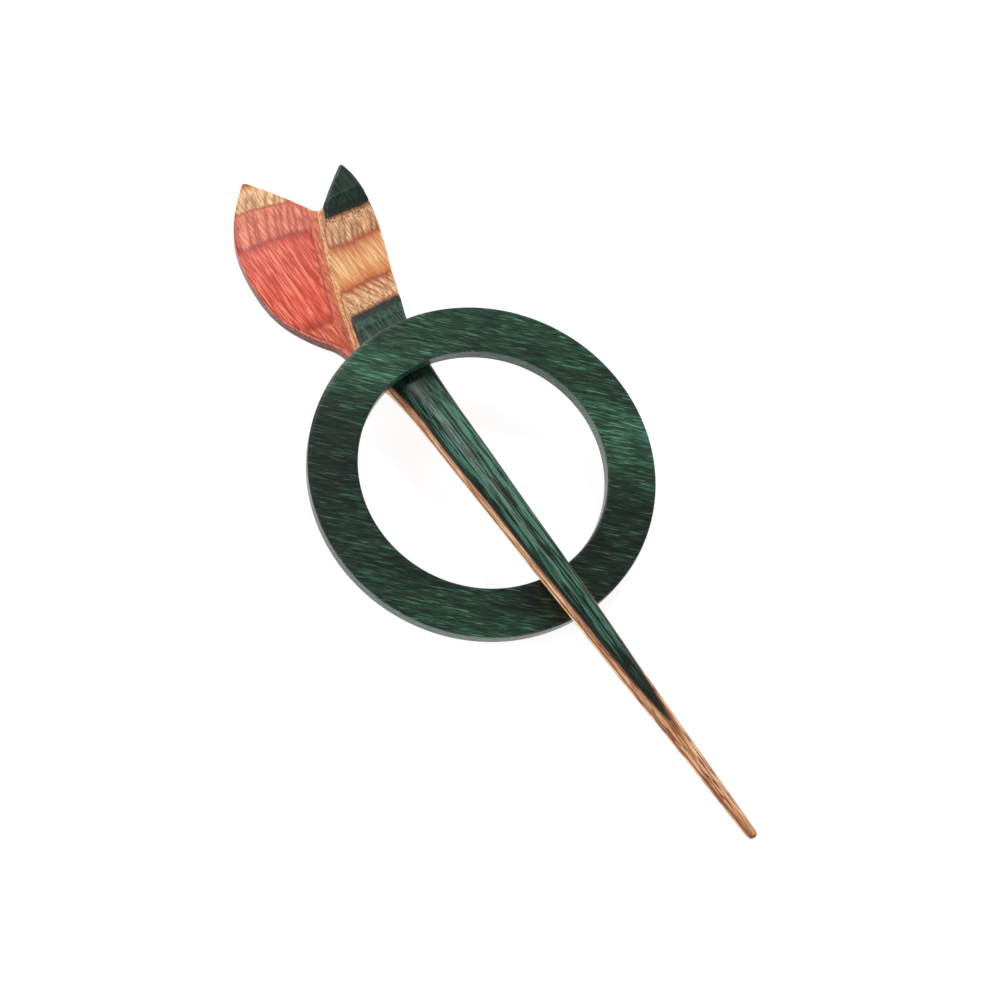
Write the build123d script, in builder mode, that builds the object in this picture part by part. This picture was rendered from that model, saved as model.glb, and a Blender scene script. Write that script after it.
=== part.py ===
from build123d import *
from math import asin, atan, cos, degrees, pi, sin
import os

# A shawl pin of laminated wood, lying on a table: the ring leans on the stick's neck on one side, and on the
# other side the stick's shaft lies across the ring. Millimetres, +Z up, +X along the stick towards its tip.
# The origin is on the table, under the middle of the stick's length and of the ring's width.

# The ring is a flat disc with a round eye and eased edges
ring_radius = 30.0
eye_radius = 21.5
ring_thickness = 3.0
ring_edge_radius = 0.35

# The stick's board is eight veneers glued flat on each other
veneer_thickness = 0.8
veneer_count = 8
board_thickness = veneer_thickness * veneer_count
board_edge_radius = 0.7

# Stations are distances along the stick from its broad end
stick_length = 149.3
neck_station = 44.0

# The ring lies this far along the stick, and its middle is this far to the side of the stick's centre line
ring_station = 72.5
ring_side_shift = 0.8
contact_gap = 0.12

# Head outline seen from above: station, distance across the stick's centre line
left_tip = (0.4, -3.1)
right_tip = (6.1, 14.2)
notch = (12.95, 6.2)
left_inner_side = (6.5, 2.0)
right_inner_side = (9.3, 10.25)
left_side = ((9.4, -10.25), (20.0, -12.6), (29.5, -11.6), (36.4, -7.9))
right_side = ((12.5, 14.85), (21.3, 13.25), (30.5, 9.85), (37.2, 7.4))
neck_half_width = 5.4
left_side_tangents = ((0.7, -0.75), (1.0, 0.12))
right_side_tangents = ((-1.0, 0.12), (-1.0, -0.35))
corner_radii = (0.45, 0.4, 0.45)

# Each lobe is hollowed by a round scoop across the stick: station and depth of its lowest line, and radius. The
# left one runs out flatter towards the neck, and its lowest line is turned a little about its middle.
right_scoop_station, right_scoop_depth, right_scoop_radius = 25.9, 1.78, 53.0
left_scoop_station, left_scoop_depth = 22.4, 3.54
left_scoop_front_radius, left_scoop_back_radius = 110.0, 170.0
left_scoop_front_arc, left_scoop_back_arc = 25.0, 18.0
left_scoop_middle, left_scoop_turn = -4.0, 9.0

# The left scoop stops at a ridge that runs from the notch to the neck's left side. Its wall hollows out in two
# leans, each given with how far to the right of the ridge it would meet the board's top face.
ridge_start, ridge_middle, ridge_end = (7.0, 9.6), (26.0, 1.3), (50.0, -5.8)
wall_leans = ((27.0, 0.02), (60.0, 2.7))
waste_reach = 30.0

# Shaft sections: station, half width, half height, depth of the crown below the board's top face, and the
# squareness of the left and the right half. A squareness of 2 is an oval, a high one nearly a rectangle.
shaft_sections = (
    (neck_station, 5.34, 3.15, 0.05, 12.0, 12.0),
    (48.0, 4.92, 2.68, 0.05, 4.5, 6.0),
    (53.0, 4.45, 2.15, 0.05, 2.5, 4.0),
    (62.0, 3.88, 1.9, 0.05, 2.0, 4.0),
    (76.0, 3.42, 1.92, 0.06, 2.0, 4.0),
    (90.0, 2.98, 1.87, 0.15, 2.0, 3.6),
    (104.0, 2.42, 1.86, 0.29, 2.0, 3.2),
    (117.0, 1.95, 1.68, 0.5, 2.0, 2.6),
    (128.0, 1.56, 1.3, 0.81, 2.0, 2.2),
    (138.0, 1.25, 1.06, 1.06, 2.0, 2.0),
    (stick_length, 0.84, 0.84, 1.28, 2.0, 2.0),
)
tip_edge_radius = 0.76
section_point_count = 32


def section_points(half_width, half_height, left_squareness, right_squareness):
    """Points round a shaft section whose two halves get flatter sides with more squareness."""
    points = []
    for step in range(section_point_count):
        angle = 2 * pi * step / section_point_count
        squareness = right_squareness if cos(angle) > 0 else left_squareness
        reach = (abs(cos(angle)) ** squareness + abs(sin(angle)) ** squareness) ** (-1 / squareness)
        points.append((half_width * reach * cos(angle), half_height * reach * sin(angle)))
    return points


def shaft_level(station, under):
    """Height above the board's bottom face of the shaft's crown, or of its underside, at a station."""
    for near, far in zip(shaft_sections, shaft_sections[1:]):
        if near[0] <= station <= far[0]:
            share = (station - near[0]) / (far[0] - near[0])
            half_height, depth = (near[i] + share * (far[i] - near[i]) for i in (2, 3))
            return board_thickness - depth - (2 * half_height if under else 0.0)
    raise ValueError("the station is not on the shaft")


def resting_tilts():
    """Tilts in radians of the ring and the stick when each lies on the other and both touch the table."""
    ring_tilt = stick_tilt = 0.0
    for _ in range(30):
        # The ring's inner bottom edge lies on the neck
        neck_contact = ring_station - eye_radius * cos(ring_tilt)
        neck_height = neck_contact * sin(stick_tilt) + shaft_level(neck_contact, False) * cos(stick_tilt)
        ring_tilt = asin((neck_height + contact_gap) / (ring_radius + eye_radius))
        # The shaft's underside lies on the ring's inner top edge
        edge_offset = eye_radius * cos(ring_tilt) + ring_thickness * sin(ring_tilt)
        edge_height = (ring_radius - eye_radius) * sin(ring_tilt) + ring_thickness * cos(ring_tilt)
        shaft_contact = ring_station + edge_offset
        rise = edge_height + contact_gap - shaft_level(shaft_contact, True)
        stick_tilt = atan(rise / shaft_contact)
    return ring_tilt, stick_tilt


ring_tilt, stick_tilt = resting_tilts()
print("tilts of the ring and the stick:", round(degrees(ring_tilt), 2), round(degrees(stick_tilt), 2))

# The stick's plane is the board's bottom face, with x along the stick and z up through the veneers
stick_plane = Plane(
    origin=(-stick_length / 2 * cos(stick_tilt), -ring_side_shift, 0),
    x_dir=(cos(stick_tilt), 0, sin(stick_tilt)),
    z_dir=(-sin(stick_tilt), 0, cos(stick_tilt)),
)
side_plane = Plane(origin=stick_plane.origin, x_dir=stick_plane.x_dir, z_dir=-stick_plane.y_dir)

# The ring's plane is its middle plane, high enough for its eased lower edge to touch the table
ring_centre_height = (
    (ring_radius - ring_edge_radius) * sin(ring_tilt)
    + (ring_thickness / 2 - ring_edge_radius) * cos(ring_tilt)
    + ring_edge_radius
)
ring_plane = Plane(
    origin=(
        stick_plane.origin.X + ring_station + ring_thickness / 2 * sin(ring_tilt),
        0,
        ring_centre_height,
    ),
    x_dir=(cos(ring_tilt), 0, -sin(ring_tilt)),
    z_dir=(sin(ring_tilt), 0, cos(ring_tilt)),
)

# Ring
with BuildPart() as ring:
    with BuildSketch(ring_plane):
        Circle(ring_radius)
        Circle(eye_radius, mode=Mode.SUBTRACT)
    extrude(amount=ring_thickness / 2, both=True)
    fillet(ring.edges().filter_by(GeomType.CIRCLE), radius=ring_edge_radius)

# The left scoop's waste: a drum's path across the stick, stopped by the ridge's hollow wall
upright = Axis((0, 0, 0), stick_plane.z_dir)
left_scoop_plane = Plane(
    origin=stick_plane.from_local_coords((left_scoop_station, left_scoop_middle, 0)),
    x_dir=side_plane.x_dir.rotate(upright, -left_scoop_turn),
    z_dir=side_plane.z_dir.rotate(upright, -left_scoop_turn),
)
left_scoop_level = board_thickness - left_scoop_depth
with BuildPart() as left_waste:
    with BuildSketch(left_scoop_plane):
        with BuildLine():
            front = CenterArc((0, left_scoop_level + left_scoop_front_radius), left_scoop_front_radius,
                              -90 - left_scoop_front_arc, left_scoop_front_arc)
            back = CenterArc((0, left_scoop_level + left_scoop_back_radius), left_scoop_back_radius,
                             -90, left_scoop_back_arc)
            Line(back @ 1, front @ 0)
        make_face()
    extrude(amount=waste_reach, both=True)
    for lean, start in wall_leans:
        with BuildSketch(stick_plane.offset(board_thickness)):
            with BuildLine():
                ThreePointArc(ridge_start, ridge_middle, ridge_end)
                Polyline(ridge_end, (ridge_end[0], -waste_reach), (-waste_reach, -waste_reach),
                         (-waste_reach, ridge_start[1]), ridge_start)
            make_face()
            offset(amount=start)
        extrude(amount=-board_thickness, taper=lean, mode=Mode.INTERSECT)

# Stick: the head is sawn from the board and its outline's edges are eased, then come the shaft and the scoops
with BuildPart() as stick:
    with BuildSketch(stick_plane) as outline:
        with BuildLine():
            neck_left = (neck_station, -neck_half_width)
            neck_right = (neck_station, neck_half_width)
            Spline(left_tip, *left_side, neck_left, tangents=left_side_tangents)
            Line(neck_left, neck_right)
            Spline(neck_right, *reversed(right_side), right_tip, tangents=right_side_tangents)
            ThreePointArc(right_tip, right_inner_side, notch)
            ThreePointArc(notch, left_inner_side, left_tip)
        make_face()
        for corner, radius in zip((left_tip, right_tip, notch), corner_radii):
            fillet(outline.vertices().sort_by_distance((*corner, 0))[0], radius=radius)
    extrude(amount=board_thickness)
    board_faces = stick.faces().sort_by(Axis((0, 0, 0), stick_plane.z_dir))
    for face in (board_faces[0], board_faces[-1]):
        fillet(face.edges() - face.edges().filter_by(Axis.Y), radius=board_edge_radius)
    for station, half_width, half_height, depth, *squareness in shaft_sections:
        middle = stick_plane.from_local_coords((station, 0, board_thickness - depth - half_height))
        with BuildSketch(Plane(origin=middle, x_dir=(0, 1, 0), z_dir=stick_plane.x_dir)):
            with BuildLine():
                Spline(*section_points(half_width, half_height, *squareness), periodic=True)
            make_face()
    loft()
    fillet(stick.faces().sort_by(Axis.X)[-1].edges(), radius=tip_edge_radius)
    with BuildSketch(side_plane):
        with Locations((right_scoop_station, board_thickness - right_scoop_depth + right_scoop_radius)):
            Circle(right_scoop_radius)
    extrude(amount=waste_reach, both=True, mode=Mode.SUBTRACT)
    add(left_waste.part, mode=Mode.SUBTRACT)

ring.part.label = "ring"
stick.part.label = "stick"
os.makedirs("parts", exist_ok=True)
export_step(ring.part, "parts/ring.step")
export_step(stick.part, "parts/stick.step")
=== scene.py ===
from math import pi, radians

import bpy
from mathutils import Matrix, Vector


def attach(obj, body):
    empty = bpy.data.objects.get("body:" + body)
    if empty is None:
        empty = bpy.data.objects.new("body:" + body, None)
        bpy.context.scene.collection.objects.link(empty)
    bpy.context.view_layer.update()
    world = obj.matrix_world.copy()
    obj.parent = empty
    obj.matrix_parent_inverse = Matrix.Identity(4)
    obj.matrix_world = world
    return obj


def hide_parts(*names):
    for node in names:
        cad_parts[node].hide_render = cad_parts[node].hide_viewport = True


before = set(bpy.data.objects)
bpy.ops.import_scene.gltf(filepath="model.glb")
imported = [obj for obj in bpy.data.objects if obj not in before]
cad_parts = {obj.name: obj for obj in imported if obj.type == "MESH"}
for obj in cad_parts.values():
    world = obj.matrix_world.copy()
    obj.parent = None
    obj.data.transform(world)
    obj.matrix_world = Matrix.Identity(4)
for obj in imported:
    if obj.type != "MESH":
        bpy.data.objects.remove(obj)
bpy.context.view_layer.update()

bpy.ops.object.select_all(action="DESELECT")


# ------------------------------------------------------------------------------------------------------------
# Camera. The pin is seen from high above the stick's right side, with the broad end away from the lens.
# ------------------------------------------------------------------------------------------------------------
camera_spot = (0.108557, -0.110893, 0.284952)
camera_turn = [radians(angle) for angle in (27.8202, -6.4818, 55.5046)]
film_width, camera_lens = 36.0, 67.853
camera_reach = (0.01, 20.0)
bpy.ops.object.camera_add(location=camera_spot, rotation=camera_turn)
camera = bpy.context.object
camera.name = "photo_camera"
camera.data.sensor_width = film_width
camera.data.lens = camera_lens
camera.data.clip_start, camera.data.clip_end = camera_reach
bpy.context.scene.camera = camera
bpy.context.scene.view_settings.view_transform = "Standard"


# ------------------------------------------------------------------------------------------------------------
# Floor and light. The pin lies on a sheet of white card in a light tent: bright walls all round and a dimmer
# ceiling, with a soft lamp behind the broad end, a side panel, and two small panels for the sheen.
# ------------------------------------------------------------------------------------------------------------
def linear(hex_colour, alpha=1.0):
    """A linear RGBA colour from an sRGB hex value."""
    channels = [int(hex_colour[i:i + 2], 16) / 255 for i in (0, 2, 4)]
    return (*(c / 12.92 if c <= 0.04045 else ((c + 0.055) / 1.055) ** 2.4 for c in channels), alpha)


def add_node(tree, kind, inputs={}, stops=(), steps=False, **settings):
    """A new node: settings are its own, inputs hold a value or another node's output for each socket, and stops
    hold the places and linear colours of a colour ramp, which steps sets to flat steps."""
    node = tree.nodes.new(kind)
    for name, value in settings.items():
        setattr(node, name, value)
    for number, (spot, colour) in enumerate(stops):
        ramp = node.color_ramp
        ramp.interpolation = "CONSTANT" if steps else "LINEAR"
        stop = ramp.elements[number] if number < 2 else ramp.elements.new(spot)
        stop.position, stop.color = spot, colour
    for socket, value in inputs.items():
        if isinstance(value, bpy.types.Node):
            value = value.outputs[0]
        if isinstance(value, bpy.types.NodeSocket):
            tree.links.new(value, node.inputs[socket])
        else:
            node.inputs[socket].default_value = value
    return node


floor_size = 4.0
bpy.ops.mesh.primitive_plane_add(size=floor_size, location=(0, 0, 0))
floor = bpy.context.object
floor.name = "floor"

# Matt white card: bright and even, with no gloss
white_card = bpy.data.materials.new("white_card")
white_card.use_nodes = True
card = white_card.node_tree.nodes["Principled BSDF"]
card_finish = {"Base Color": linear("8A8A8A"), "Roughness": 0.9, "Specular IOR Level": 0.2,
               "Emission Color": (1, 1, 1, 1), "Emission Strength": 0.88}
for socket, value in card_finish.items():
    card.inputs[socket].default_value = value
floor.data.materials.append(white_card)

# The walls' brightness fades to the ceiling's between these two heights: 0 is level, 1 is straight up
tent_strength = 0.75
wall_height, ceiling_height, ceiling_brightness = 0.5, 0.85, 0.22
world = bpy.data.worlds.new("light_tent")
bpy.context.scene.world = world
world.use_nodes = True
tent = world.node_tree
direction = add_node(tent, "ShaderNodeTexCoord")
height = add_node(tent, "ShaderNodeSeparateXYZ", {0: direction.outputs["Generated"]})
tent_wall = add_node(tent, "ShaderNodeValToRGB", {0: height.outputs["Z"]}, stops=(
    (wall_height, (1.0, 1.0, 1.0, 1)), (ceiling_height, (*[ceiling_brightness] * 3, 1))))
background = tent.nodes["Background"]
tent.links.new(tent_wall.outputs[0], background.inputs["Color"])
background.inputs["Strength"].default_value = tent_strength

# The soft lamp gives the shadows, and the side panel lights the walls. The top and end panels only show as a
# satin sheen in the lacquer. Each has its direction, width in metres and watts.
lamp_distance = 0.7
for name, towards, size, energy, lights, mirrored in (
        ("soft_lamp", (-0.9, 1.2, 1.0), 0.3, 5.0, True, False),
        ("side_panel", (-0.3, -0.85, 0.5), 0.35, 2.2, True, False),
        ("top_panel", (-0.42, 0.2, 0.88), 0.14, 0.45, False, True),
        ("end_panel", (-0.92, -0.05, 0.39), 0.5, 1.4, False, True)):
    lamp_direction = Vector(towards).normalized()
    bpy.ops.object.light_add(type="AREA", location=lamp_direction * lamp_distance)
    lamp = bpy.context.object
    lamp.name = name
    lamp.rotation_euler = lamp_direction.to_track_quat("Z", "Y").to_euler()
    lamp.data.shape = "SQUARE"
    lamp.data.size = size
    lamp.data.energy = energy
    lamp.visible_diffuse = lights
    lamp.visible_glossy = mirrored


# ------------------------------------------------------------------------------------------------------------
# Ring: a flat ring sawn from a board of birch veneers that were dyed green right through and glued, then sanded
# flat and lacquered. Its four edges are eased by hand. It leans on the stick's neck.
# ------------------------------------------------------------------------------------------------------------
ring_centre = (-0.001918, 0.0, 0.005788)
ring_tilt = radians(8.34)
ring_outer, ring_inner, ring_thick = 0.030, 0.0215, 0.003
ring_edge = 0.00035
ring_band = ring_outer - ring_inner
ring_corner_steps, ring_flat_cuts, ring_spin_steps = 5, 12, 288
flat_edge_length = 0.002
merge_distance = 1e-6

bpy.ops.mesh.primitive_plane_add(
    size=1.0, location=(ring_inner + ring_band / 2, 0, 0), rotation=(pi / 2, 0, 0))
ring = bpy.context.object
ring.name = "green_ring"
ring.scale = (ring_band, ring_thick, 1)
bpy.ops.object.transform_apply(location=True, rotation=True, scale=True)
bpy.ops.object.mode_set(mode="EDIT")
bpy.ops.mesh.select_all(action="SELECT")
bpy.ops.mesh.bevel(offset=ring_edge, segments=ring_corner_steps, affect="VERTICES")
bpy.ops.mesh.select_all(action="SELECT")
bpy.ops.mesh.delete(type="ONLY_FACE")
bpy.ops.object.mode_set(mode="OBJECT")
# The profile's four long edges are divided, so that the ring's flats have even, nearly square faces
for edge in ring.data.edges:
    a, b = (ring.data.vertices[i].co for i in edge.vertices)
    edge.select = (a - b).length > flat_edge_length
    for i in edge.vertices:
        ring.data.vertices[i].select = False
bpy.ops.object.mode_set(mode="EDIT")
bpy.ops.mesh.select_mode(type="EDGE")
bpy.ops.mesh.subdivide(number_cuts=ring_flat_cuts)
bpy.ops.mesh.select_mode(type="VERT")
bpy.ops.mesh.select_all(action="SELECT")
bpy.ops.mesh.spin(steps=ring_spin_steps, angle=2 * pi, center=(0, 0, 0), axis=(0, 0, 1))
bpy.ops.mesh.select_all(action="SELECT")
bpy.ops.mesh.remove_doubles(threshold=merge_distance)
bpy.ops.mesh.normals_make_consistent(inside=False)
bpy.ops.object.mode_set(mode="OBJECT")
ring.rotation_euler = (0, ring_tilt, 0)
ring.location = ring_centre
bpy.ops.object.transform_apply(location=True, rotation=True)
bpy.ops.object.shade_smooth()
bpy.ops.object.select_all(action="DESELECT")

# Green-dyed laminated birch, sanded and satin-lacquered: the dye takes unevenly, so pale growth layers cross the
# ring, thin pale and dark streaks follow the grain, and the glued veneers' lines go round the walls
dyed_birch = bpy.data.materials.new("green_dyed_birch")
dyed_birch.use_nodes = True
tree = dyed_birch.node_tree
wood = tree.nodes["Principled BSDF"]
lacquer = {"IOR": 1.5, "Specular IOR Level": 0.1, "Coat Roughness": 0.24, "Coat IOR": 1.5}
for socket, value in {**lacquer, "Coat Weight": 0.65}.items():
    wood.inputs[socket].default_value = value
mm_per_metre = 1000
coordinates = add_node(tree, "ShaderNodeTexCoord")
# Millimetres from the ring's middle, first level with its face, then with x along the grain
centred = add_node(tree, "ShaderNodeVectorMath", {
    0: coordinates.outputs["Object"], 1: tuple(-c for c in ring_centre)}, operation="ADD")
levelled = add_node(tree, "ShaderNodeMapping", {
    0: centred, "Rotation": (0, -ring_tilt, 0), "Scale": (mm_per_metre,) * 3})
grain_turn = radians(48.5)
along_grain = add_node(tree, "ShaderNodeMapping", {0: levelled, "Rotation": (0, 0, -grain_turn)})

# Growth layers run across the whole ring, a little off the grain: brightness by millimetres across it
growth_slope, growth_reach, growth_sway, fibre_sway = 0.072, 30, 7.0, 0.8
across = add_node(tree, "ShaderNodeVectorMath", {
    0: along_grain, 1: (growth_slope, 1, 0)}, operation="DOT_PRODUCT")
sway_stretch = add_node(tree, "ShaderNodeVectorMath", {
    0: along_grain, 1: (0.05, 0.16, 0.1)}, operation="MULTIPLY")
sway = add_node(tree, "ShaderNodeTexNoise", {"Vector": sway_stretch, "Scale": 1.0, "Detail": 2.0})
swayed = add_node(tree, "ShaderNodeMath", {
    0: sway, 1: growth_sway, 2: across.outputs["Value"]}, operation="MULTIPLY_ADD")
growth_place = add_node(tree, "ShaderNodeMapRange", {
    "Value": swayed, "From Min": growth_sway / 2 - growth_reach, "From Max": growth_sway / 2 + growth_reach})
growth_layers = ((-28, 0.6), (-22, 0.25), (-14, 0.0), (0, 0.02), (4, 0.22), (7, 0.68), (11, 1.0), (16, 1.0),
                 (19.5, 0.5), (24, 0.52), (29, 0.65))
growth = add_node(tree, "ShaderNodeValToRGB", {0: growth_place}, stops=[
    ((place / growth_reach + 1) / 2, (brightness, brightness, brightness, 1))
    for place, brightness in growth_layers])

# Thin streaks about 2.5 mm by 0.2 mm, broader ones 8 mm by 0.9 mm, and a few bright dashes where vessels
# are cut. Each stretch is the noise's cells per millimetre along, across and through the grain.
grain_sway = add_node(tree, "ShaderNodeCombineXYZ", {
    "Y": add_node(tree, "ShaderNodeMath", {0: sway, 1: fibre_sway}, operation="MULTIPLY")})
grain = add_node(tree, "ShaderNodeVectorMath", {0: along_grain, 1: grain_sway}, operation="ADD")
fine_stretch = add_node(tree, "ShaderNodeVectorMath", {0: grain, 1: (0.38, 4.0, 3.0)}, operation="MULTIPLY")
fine = add_node(tree, "ShaderNodeTexNoise", {
    "Vector": fine_stretch, "Scale": 1.0, "Detail": 2.0, "Roughness": 0.6})
broad_stretch = add_node(tree, "ShaderNodeVectorMath", {0: grain, 1: (0.12, 1.1, 0.8)}, operation="MULTIPLY")
broad = add_node(tree, "ShaderNodeTexNoise", {
    "Vector": broad_stretch, "Scale": 1.0, "Detail": 3.0, "Roughness": 0.6})
dash_stretch = add_node(tree, "ShaderNodeVectorMath", {0: grain, 1: (0.36, 4.8, 3.6)}, operation="MULTIPLY")
dash = add_node(tree, "ShaderNodeTexNoise", {"Vector": dash_stretch, "Scale": 1.0, "Detail": 0.0})
dashes = add_node(tree, "ShaderNodeMapRange", {
    "Value": dash, "From Min": 0.61, "From Max": 0.7, "To Max": 0.34}, interpolation_type="SMOOTHSTEP")
tone = add_node(tree, "ShaderNodeMath", {0: fine, 1: 1.05, 2: dashes}, operation="MULTIPLY_ADD")
tone = add_node(tree, "ShaderNodeMath", {0: broad, 1: 0.7, 2: tone}, operation="MULTIPLY_ADD")
tone = add_node(tree, "ShaderNodeMath", {0: growth, 1: 0.38, 2: tone}, operation="MULTIPLY_ADD")
tone = add_node(tree, "ShaderNodeMapRange", {"Value": tone, "From Min": 0.69, "From Max": 1.76})
green_tones = ((0.0, "121816"), (0.2, "1A2620"), (0.4, "233A2D"),
               (0.6, "335342"), (0.8, "47735C"), (1.0, "6A967F"))
green = add_node(tree, "ShaderNodeValToRGB", {0: tone}, stops=[
    (place, linear(colour)) for place, colour in green_tones])

# Glue lines between the ring's four veneers, seen on its walls only: heights from its middle plane
glue_heights, glue_half_width, ring_half = (-0.75, 0.0, 0.75), 0.09, 1.5
glue_profile = ((-glue_half_width, 0), (0, 0.85), (glue_half_width, 0))
level = add_node(tree, "ShaderNodeSeparateXYZ", {0: levelled})
glue_place = add_node(tree, "ShaderNodeMapRange", {
    "Value": level.outputs["Z"], "From Min": -ring_half, "From Max": ring_half})
glue = add_node(tree, "ShaderNodeValToRGB", {0: glue_place}, stops=[
    ((line + offset + ring_half) / (2 * ring_half), (strength, strength, strength, 1))
    for line in glue_heights for offset, strength in glue_profile])
with_glue = add_node(tree, "ShaderNodeMix", {
    "Factor": glue, 6: green, 7: linear("0E1412")}, data_type="RGBA")
tree.links.new(with_glue.outputs[2], wood.inputs["Base Color"])
gloss = add_node(tree, "ShaderNodeMapRange", {
    "Value": fine, "From Min": 0.3, "From Max": 0.7, "To Min": 0.36, "To Max": 0.52})
tree.links.new(gloss.outputs[0], wood.inputs["Roughness"])
# The sanded grain still stands up to 0.1 mm, at half strength under the lacquer
grain_relief = {"Strength": 0.5, "Distance": 0.0001}
grain_bump = add_node(tree, "ShaderNodeBump", {"Height": fine, **grain_relief})
tree.links.new(grain_bump.outputs[0], wood.inputs["Normal"])
ring.data.materials.append(dyed_birch)
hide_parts("ring")
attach(ring, "ring")


# ------------------------------------------------------------------------------------------------------------
# Stick: sawn from a board of eight dyed veneers glued flat on each other, its head hollowed on a sanding drum,
# its shaft rounded and its edges softened by hand, then lacquered. It keeps the CAD solid's shape.
# ------------------------------------------------------------------------------------------------------------
stick_voxel = 0.00024
sanding_share, sanding_rounds = 0.5, 5
stick_tilt = radians(1.12)
stick_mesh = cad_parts["stick"].data.copy()
stick = bpy.data.objects.new("banded_stick", stick_mesh)
bpy.context.scene.collection.objects.link(stick)
stick.data.materials.clear()
stick.select_set(True)
bpy.context.view_layer.objects.active = stick
bpy.ops.object.mode_set(mode="EDIT")
bpy.ops.mesh.select_all(action="SELECT")
bpy.ops.mesh.remove_doubles(threshold=merge_distance)
bpy.ops.object.mode_set(mode="OBJECT")
remesh = stick.modifiers.new("even_faces", "REMESH")
remesh.mode = "VOXEL"
remesh.voxel_size = stick_voxel
bpy.ops.object.modifier_apply(modifier=remesh.name)
sanded = stick.modifiers.new("hand_sanded", "SMOOTH")
sanded.factor = sanding_share
sanded.iterations = sanding_rounds
bpy.ops.object.modifier_apply(modifier=sanded.name)
bpy.ops.object.shade_smooth()
bpy.ops.object.select_all(action="DESELECT")

# Laminated birch with dyed veneers, sanded and satin-lacquered: each veneer shows where the surface is at its
# depth, with its own colours, streaks along the grain and short dark checks that rise from its lower glue line
veneer, veneer_count = 0.8, 8
board_thick = veneer * veneer_count
broad_end = (74.62, 0.8, -1.459)
shaft_start, shaft_full = 36, 52
stick_reach = 150
laminate = bpy.data.materials.new("laminated_dyed_birch")
laminate.use_nodes = True
tree = laminate.node_tree
wood = tree.nodes["Principled BSDF"]
for socket, value in {**lacquer, "Coat Weight": 0.5}.items():
    wood.inputs[socket].default_value = value
coordinates = add_node(tree, "ShaderNodeTexCoord")
# Millimetres: x from the broad end along the stick, y across it, z up from the board's bottom face
board = add_node(tree, "ShaderNodeMapping", {
    0: coordinates.outputs["Object"], "Scale": (mm_per_metre,) * 3, "Rotation": (0, stick_tilt, 0),
    "Location": broad_end})
place = add_node(tree, "ShaderNodeSeparateXYZ", {0: board})
# The veneers lie a little wavy, and the glue creeps along the fibres, so that their borders are ragged
wave_stretch = add_node(tree, "ShaderNodeVectorMath", {0: board, 1: (0.07, 0.11, 0.0)}, operation="MULTIPLY")
wave = add_node(tree, "ShaderNodeTexNoise", {"Vector": wave_stretch, "Scale": 1.0, "Detail": 1.0})
creep_stretch = add_node(tree, "ShaderNodeVectorMath", {0: board, 1: (0.35, 2.4, 0.5)}, operation="MULTIPLY")
creep = add_node(tree, "ShaderNodeTexNoise", {"Vector": creep_stretch, "Scale": 1.0, "Detail": 2.0})
wave_height, creep_height = 0.24, 0.12
depth = add_node(tree, "ShaderNodeMath", {
    0: board_thick - (wave_height + creep_height) / 2, 1: place.outputs["Z"]}, operation="SUBTRACT")
depth = add_node(tree, "ShaderNodeMath", {0: wave, 1: wave_height, 2: depth}, operation="MULTIPLY_ADD")
depth = add_node(tree, "ShaderNodeMath", {0: creep, 1: creep_height, 2: depth}, operation="MULTIPLY_ADD")
share = add_node(tree, "ShaderNodeMath", {0: depth, 1: board_thick}, operation="DIVIDE")
plies = add_node(tree, "ShaderNodeMath", {0: depth, 1: veneer}, operation="DIVIDE")
within = add_node(tree, "ShaderNodeMath", {0: plies}, operation="FRACT")

# Streaks along the grain: thin ones 2 to 4 mm by 0.15 mm and broader ones 8 mm by 0.4 mm on the head, where the
# scoops cut the fibres, and long ones on the shaft, which follows them
fine_stretch = add_node(tree, "ShaderNodeVectorMath", {0: board, 1: (0.22, 3.6, 2.9)}, operation="MULTIPLY")
fine = add_node(tree, "ShaderNodeTexNoise", {
    "Vector": fine_stretch, "Scale": 1.0, "Detail": 1.5, "Roughness": 0.6})
broad_stretch = add_node(tree, "ShaderNodeVectorMath", {0: board, 1: (0.14, 1.7, 1.8)}, operation="MULTIPLY")
broad = add_node(tree, "ShaderNodeTexNoise", {
    "Vector": broad_stretch, "Scale": 1.0, "Detail": 2.0, "Roughness": 0.55})
long_stretch = add_node(tree, "ShaderNodeVectorMath", {0: board, 1: (0.022, 1.0, 1.0)}, operation="MULTIPLY")
long = add_node(tree, "ShaderNodeTexNoise", {
    "Vector": long_stretch, "Scale": 1.0, "Detail": 3.0, "Roughness": 0.6})
on_shaft = add_node(tree, "ShaderNodeMapRange", {
    "Value": place.outputs["X"], "From Min": shaft_start, "From Max": shaft_full})
broader = add_node(tree, "ShaderNodeMix", {"Factor": on_shaft, 2: broad, 3: long}, data_type="FLOAT")
fine_weight = add_node(tree, "ShaderNodeMapRange", {"Value": on_shaft, "To Min": 0.62, "To Max": 0.42})
streak = add_node(tree, "ShaderNodeMix", {"Factor": fine_weight, 2: broader, 3: fine}, data_type="FLOAT")
shaft_contrast = add_node(tree, "ShaderNodeMapRange", {"Value": on_shaft, "To Min": 1.0, "To Max": 1.5})
streak = add_node(tree, "ShaderNodeMath", {0: streak, 1: 0.505}, operation="SUBTRACT")
streak = add_node(tree, "ShaderNodeMath", {0: streak, 1: shaft_contrast, 2: 0.5}, operation="MULTIPLY_ADD")
dark_share = add_node(tree, "ShaderNodeMapRange", {"Value": streak, "From Min": 0.475, "From Max": 0.4})
light_share = add_node(tree, "ShaderNodeMapRange", {"Value": streak, "From Min": 0.525, "From Max": 0.62})
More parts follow.
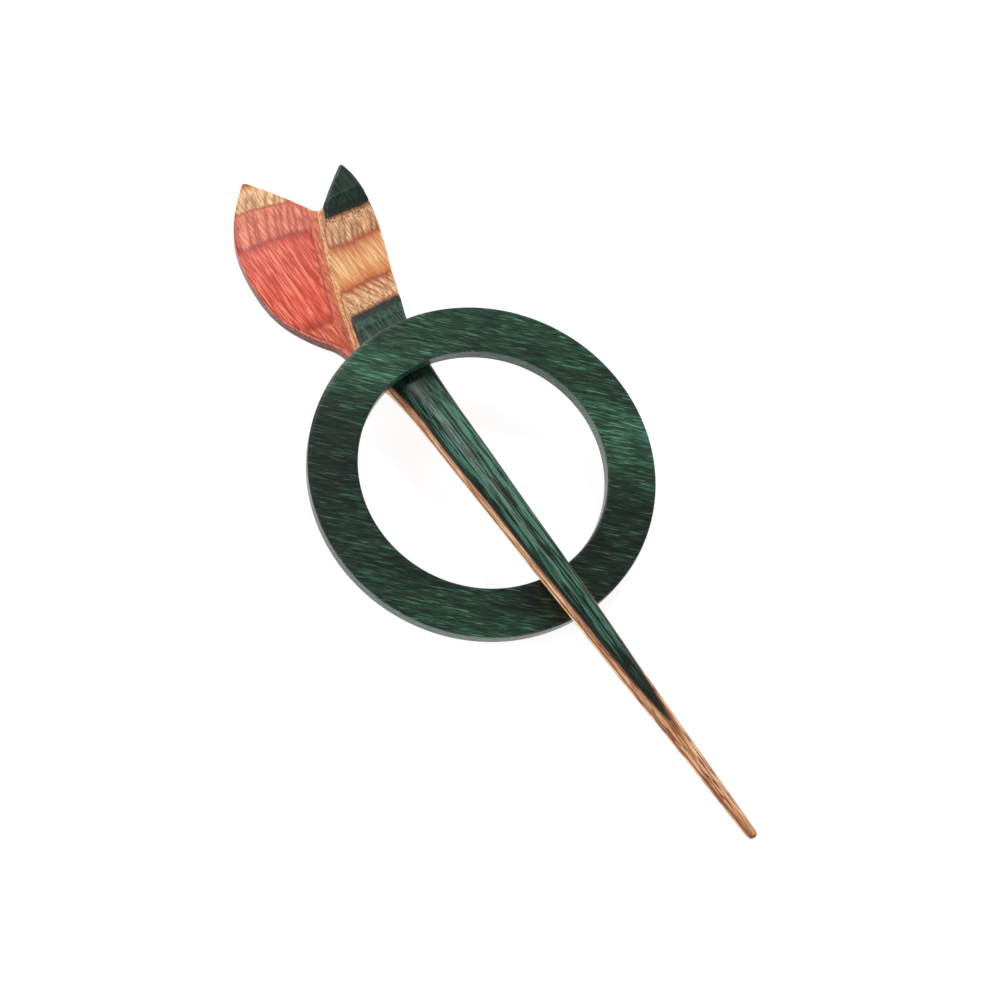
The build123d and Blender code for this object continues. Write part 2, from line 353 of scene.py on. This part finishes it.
# Hairlines 3 mm by 0.1 mm, where single vessels are cut: pale ones and dark ones
hair_stretch = add_node(tree, "ShaderNodeVectorMath", {0: board, 1: (0.17, 4.2, 3.3)}, operation="MULTIPLY")
hair = add_node(tree, "ShaderNodeTexNoise", {"Vector": hair_stretch, "Scale": 1.0, "Detail": 0.0})
dark_hair = add_node(tree, "ShaderNodeMapRange", {
    "Value": hair, "From Min": 0.41, "From Max": 0.35, "To Max": 0.85})
light_hair = add_node(tree, "ShaderNodeMapRange", {
    "Value": hair, "From Min": 0.59, "From Max": 0.65, "To Max": 0.85})
hair_limits = (1.0, 0.35, 0.8, 0.6, 0.75, 1.0, 1.0, 1.0)
hair_limit = add_node(tree, "ShaderNodeValToRGB", {0: share}, steps=True, stops=[
    (ply / veneer_count, (limit, limit, limit, 1)) for ply, limit in enumerate(hair_limits)])
hair_limit = add_node(tree, "ShaderNodeMath", {0: hair_limit, 1: on_shaft}, operation="MAXIMUM")
dark_hair = add_node(tree, "ShaderNodeMath", {0: dark_hair, 1: hair_limit}, operation="MULTIPLY")
light_hair = add_node(tree, "ShaderNodeMath", {0: light_hair, 1: hair_limit}, operation="MULTIPLY")
dark_share = add_node(tree, "ShaderNodeMath", {0: dark_share, 1: dark_hair}, operation="MAXIMUM")
light_share = add_node(tree, "ShaderNodeMath", {0: light_share, 1: light_hair}, operation="MAXIMUM")
# The top veneer's head end took more dye, and shows few light streaks
below_top = add_node(tree, "ShaderNodeMath", {0: depth, 1: veneer}, operation="GREATER_THAN")
along = add_node(tree, "ShaderNodeMapRange", {"Value": place.outputs["X"], "From Max": stick_reach})
# From 50 to 53 mm they are held down further where the ring's shadow crosses the shaft: painted shadow over
# darker dye
dye_and_painted_shadow_limits = ((30, 0.2), (38, 0.6), (46, 0.5), (50, 0.1), (53, 0.15), (57, 0.85))
light_limit = add_node(tree, "ShaderNodeValToRGB", {0: along}, stops=[
    (at / stick_reach, (limit, limit, limit, 1)) for at, limit in dye_and_painted_shadow_limits])
light_limit = add_node(tree, "ShaderNodeMath", {0: light_limit, 1: below_top}, operation="MAXIMUM")
light_share = add_node(tree, "ShaderNodeMath", {0: light_share, 1: light_limit}, operation="MULTIPLY")

# Colours of the eight veneers from the top: plain, in dark streaks, in light streaks, and in the checks
veneer_tones = {
    # The lowest three, seen on the stick's sides, are dark brown-red: partly their own colour, partly painted
    # shade
    "plain": ("1A3228", "CA956A", "DAA472", "D26C4C", "CA4C38", "622C25", "5C2822", "562621"),
    "dark": ("070B0A", "A06A44", "BA7E4C", "AC4A34", "A43A2C", "421E19", "3C1A16", "381815"),
    "light": ("507E69", "E2BC94", "F2D6A6", "EC9678", "E4826A", "844A40", "764038", "6E3E36"),
    "checks": ("1D4A38", "784830", "8C6038", "963C30", "8C2A25", "4A2220", "4A2220", "4A2220"),
}
tones = {}
for name, colours in veneer_tones.items():
    tones[name] = add_node(tree, "ShaderNodeValToRGB", {0: share}, steps=True, stops=[
        (ply / veneer_count, linear(colour)) for ply, colour in enumerate(colours)])
colour = add_node(tree, "ShaderNodeMix", {
    "Factor": dark_share, 6: tones["plain"], 7: tones["dark"]}, data_type="RGBA").outputs[2]
colour = add_node(tree, "ShaderNodeMix", {
    "Factor": light_share, 6: colour, 7: tones["light"]}, data_type="RGBA").outputs[2]
top_shade = add_node(tree, "ShaderNodeMapRange", {"Value": on_shaft, "To Min": 0.45, "To Max": 0.0})
above_tan = add_node(tree, "ShaderNodeMath", {0: depth, 1: veneer}, operation="LESS_THAN")
top_shade = add_node(tree, "ShaderNodeMath", {0: top_shade, 1: above_tan}, operation="MULTIPLY")
colour = add_node(tree, "ShaderNodeMix", {
    "Factor": top_shade, 6: colour, 7: linear("0C1210")}, data_type="RGBA").outputs[2]

# Checks from peeling the veneer: thin slanting cracks about 1.3 mm apart that reach part of the way up
check_spacing, check_slant = 1.3, 3.6
slanted = add_node(tree, "ShaderNodeMath", {
    0: depth, 1: check_slant, 2: place.outputs["Y"]}, operation="MULTIPLY_ADD")
slanted = add_node(tree, "ShaderNodeMath", {0: fine, 1: 0.9, 2: slanted}, operation="MULTIPLY_ADD")
checks = add_node(tree, "ShaderNodeTexVoronoi", {
    "W": slanted, "Scale": 1 / check_spacing, "Randomness": 0.75}, voronoi_dimensions="1D")
check_line = add_node(tree, "ShaderNodeMapRange", {
    "Value": checks.outputs["Distance"], "From Min": 0.0, "From Max": 0.4, "To Min": 1.0, "To Max": 0.0},
    interpolation_type="SMOOTHSTEP")
check_chance = add_node(tree, "ShaderNodeSeparateColor", {0: checks.outputs["Color"]})
check_height = add_node(tree, "ShaderNodeMath", {
    0: check_chance, 1: 0.25, 2: within}, operation="MULTIPLY_ADD")
# How far up the checks reach in each veneer: 1 is not at all, 0 all the way
check_tops = (0.0, 0.42, 0.33, 0.0, 0.75, 1.0, 1.0, 1.0)
reach = add_node(tree, "ShaderNodeValToRGB", {0: share}, steps=True, stops=[
    (ply / veneer_count, (level, level, level, 1)) for ply, level in enumerate(check_tops)])
above = add_node(tree, "ShaderNodeMath", {0: check_height, 1: reach}, operation="SUBTRACT")
check_reach = add_node(tree, "ShaderNodeMapRange", {
    "Value": above, "From Min": 0.1, "From Max": 0.45, "To Max": 0.8})
check_share = add_node(tree, "ShaderNodeMath", {0: check_line, 1: check_reach}, operation="MULTIPLY")
shaft_limit = add_node(tree, "ShaderNodeMapRange", {"Value": on_shaft, "To Min": 1.0, "To Max": 0.3})
check_share = add_node(tree, "ShaderNodeMath", {0: check_share, 1: shaft_limit}, operation="MULTIPLY")
# They are faint on the top veneer at the right lobe's tip
tip_limit = add_node(tree, "ShaderNodeMapRange", {
    "Value": place.outputs["X"], "From Min": 18, "From Max": 30, "To Min": 0.3, "To Max": 1.0})
tip_limit = add_node(tree, "ShaderNodeMath", {0: tip_limit, 1: below_top}, operation="MAXIMUM")
check_share = add_node(tree, "ShaderNodeMath", {0: check_share, 1: tip_limit}, operation="MULTIPLY")
# None show on the ridge's wall. The ridge's line, in millimetres, is
# across = side - fall (x - start) + bend (x - start) (x - middle).
ridge_start, ridge_middle, ridge_side, ridge_fall, ridge_bend = 7.0, 26.0, 9.6, 0.437, 0.0033
from_start = add_node(tree, "ShaderNodeMath", {0: place.outputs["X"], 1: ridge_start}, operation="SUBTRACT")
curve = add_node(tree, "ShaderNodeMath", {
    0: place.outputs["X"], 1: ridge_bend, 2: -ridge_bend * ridge_middle - ridge_fall},
    operation="MULTIPLY_ADD")
ridge = add_node(tree, "ShaderNodeMath", {0: from_start, 1: curve, 2: ridge_side}, operation="MULTIPLY_ADD")
left_of_ridge = add_node(tree, "ShaderNodeMath", {0: ridge, 1: place.outputs["Y"]}, operation="SUBTRACT")
wall = add_node(tree, "ShaderNodeMapRange", {"Value": left_of_ridge, "From Min": -0.1, "From Max": 0.1})
wall_end = add_node(tree, "ShaderNodeMapRange", {
    "Value": left_of_ridge, "From Min": 2.6, "From Max": 4.2, "To Min": 1.0, "To Max": 0.0})
wall = add_node(tree, "ShaderNodeMath", {0: wall, 1: wall_end}, operation="MULTIPLY")
off_wall = add_node(tree, "ShaderNodeMath", {0: 1.0, 1: wall}, operation="SUBTRACT")
check_share = add_node(tree, "ShaderNodeMath", {0: check_share, 1: off_wall}, operation="MULTIPLY")
colour = add_node(tree, "ShaderNodeMix", {
    "Factor": check_share, 6: colour, 7: tones["checks"]}, data_type="RGBA").outputs[2]

# The wall is tinted darker and redder in the red veneers
in_red = add_node(tree, "ShaderNodeMath", {0: depth, 1: 2.5}, operation="GREATER_THAN")
wall_red = add_node(tree, "ShaderNodeMath", {0: wall, 1: in_red}, operation="MULTIPLY")
wall_red = add_node(tree, "ShaderNodeMath", {0: wall_red, 1: 0.28}, operation="MULTIPLY")
colour = add_node(tree, "ShaderNodeMix", {
    "Factor": wall_red, 6: colour, 7: linear("A03C28")}, data_type="RGBA").outputs[2]

# Vessels in the tan veneer took up green dye from the one above: dark dots about 0.4 mm by 0.25 mm
pore_stretch = add_node(tree, "ShaderNodeVectorMath", {0: board, 1: (1.7, 3.1, 2.8)}, operation="MULTIPLY")
pore_cells = add_node(tree, "ShaderNodeTexVoronoi", {"Vector": pore_stretch, "Scale": 1.0})
pore_dots = add_node(tree, "ShaderNodeMapRange", {
    "Value": pore_cells.outputs["Distance"], "From Min": 0.32, "From Max": 0.5, "To Min": 1.0, "To Max": 0.0})
pore_reach = add_node(tree, "ShaderNodeMapRange", {
    "Value": depth, "From Min": 0.9, "From Max": 1.35, "To Min": 0.9, "To Max": 0.0})
pore_share = add_node(tree, "ShaderNodeMath", {0: pore_dots, 1: pore_reach}, operation="MULTIPLY")
pore_share = add_node(tree, "ShaderNodeMath", {0: pore_share, 1: below_top}, operation="MULTIPLY")
on_head = add_node(tree, "ShaderNodeMath", {0: 1.0, 1: on_shaft}, operation="SUBTRACT")
pore_share = add_node(tree, "ShaderNodeMath", {0: pore_share, 1: on_head}, operation="MULTIPLY")
colour = add_node(tree, "ShaderNodeMix", {
    "Factor": pore_share, 6: colour, 7: linear("4A3A2C")}, data_type="RGBA").outputs[2]

# Glue lines, with dye drawn into them: depth, colour and strength
glue_stops = ((0.42, "161B18", 0), (0.56, "161B18", 0.8), (0.74, "1A1E1A", 0.85), (0.79, "3A2A20", 0.8),
              (0.86, "7E4426", 0.8), (0.95, "A8714A", 0),
              (1.46, "A8583A", 0), (1.57, "98402A", 0.95), (1.66, "B4602E", 0.75), (1.86, "D08A4C", 0),
              (2.32, "A86040", 0), (2.4, "9A3F34", 0.9), (2.47, "B0503F", 0),
              (3.1, "A83A2C", 0), (3.17, "8E261E", 0.85), (3.23, "A03022", 0.55), (3.34, "C04030", 0),
              (3.93, "5A1E18", 0), (4.0, "5A1E18", 0.9), (4.08, "5A1E18", 0),
              (4.74, "A87038", 0), (4.8, "A87038", 0.9), (4.86, "A87038", 0),
              (5.55, "6A3A28", 0), (5.6, "6A3A28", 0.8), (5.65, "6A3A28", 0))
glue = add_node(tree, "ShaderNodeValToRGB", {0: share}, stops=[
    (at / board_thick, linear(tint, strength)) for at, tint, strength in glue_stops])
colour = add_node(tree, "ShaderNodeMix", {
    "Factor": glue.outputs["Alpha"], 6: colour, 7: glue.outputs["Color"]}, data_type="RGBA").outputs[2]
# Towards the tip the shaft cuts the tan veneers' vessels open: brown lines 2 to 4 mm long
vessel_stretch = add_node(tree, "ShaderNodeVectorMath", {0: board, 1: (0.3, 4.4, 3.4)}, operation="MULTIPLY")
vessel = add_node(tree, "ShaderNodeTexNoise", {"Vector": vessel_stretch, "Scale": 1.0, "Detail": 0.0})
vessel = add_node(tree, "ShaderNodeMapRange", {
    "Value": vessel, "From Min": 0.45, "From Max": 0.38, "To Max": 0.9})
near_tip = add_node(tree, "ShaderNodeMapRange", {
    "Value": place.outputs["X"], "From Min": 70, "From Max": 110})
vessel = add_node(tree, "ShaderNodeMath", {0: vessel, 1: near_tip}, operation="MULTIPLY")
vessel = add_node(tree, "ShaderNodeMath", {0: vessel, 1: below_top}, operation="MULTIPLY")
colour = add_node(tree, "ShaderNodeMix", {
    "Factor": vessel, 6: colour, 7: linear("7E4228")}, data_type="RGBA").outputs[2]

# On the shaft the line under the tan veneer is a thin dark contour
contour = add_node(tree, "ShaderNodeMath", {0: depth, 1: 2 * veneer}, operation="SUBTRACT")
contour = add_node(tree, "ShaderNodeMath", {0: contour}, operation="ABSOLUTE")
contour = add_node(tree, "ShaderNodeMapRange", {
    "Value": contour, "From Min": 0.05, "From Max": 0.14, "To Min": 0.9, "To Max": 0})
contour = add_node(tree, "ShaderNodeMath", {0: contour, 1: on_shaft}, operation="MULTIPLY")
colour = add_node(tree, "ShaderNodeMix", {
    "Factor": contour, 6: colour, 7: linear("6E2C1A")}, data_type="RGBA").outputs[2]
tree.links.new(colour, wood.inputs["Base Color"])
gloss = add_node(tree, "ShaderNodeMapRange", {
    "Value": fine, "From Min": 0.3, "From Max": 0.7, "To Min": 0.36, "To Max": 0.5})
tree.links.new(gloss.outputs[0], wood.inputs["Roughness"])
grain_bump = add_node(tree, "ShaderNodeBump", {"Height": fine, **grain_relief})
tree.links.new(grain_bump.outputs[0], wood.inputs["Normal"])
stick.data.materials.append(laminate)
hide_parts("stick")
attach(stick, "stick")

bpy.context.view_layer.update()
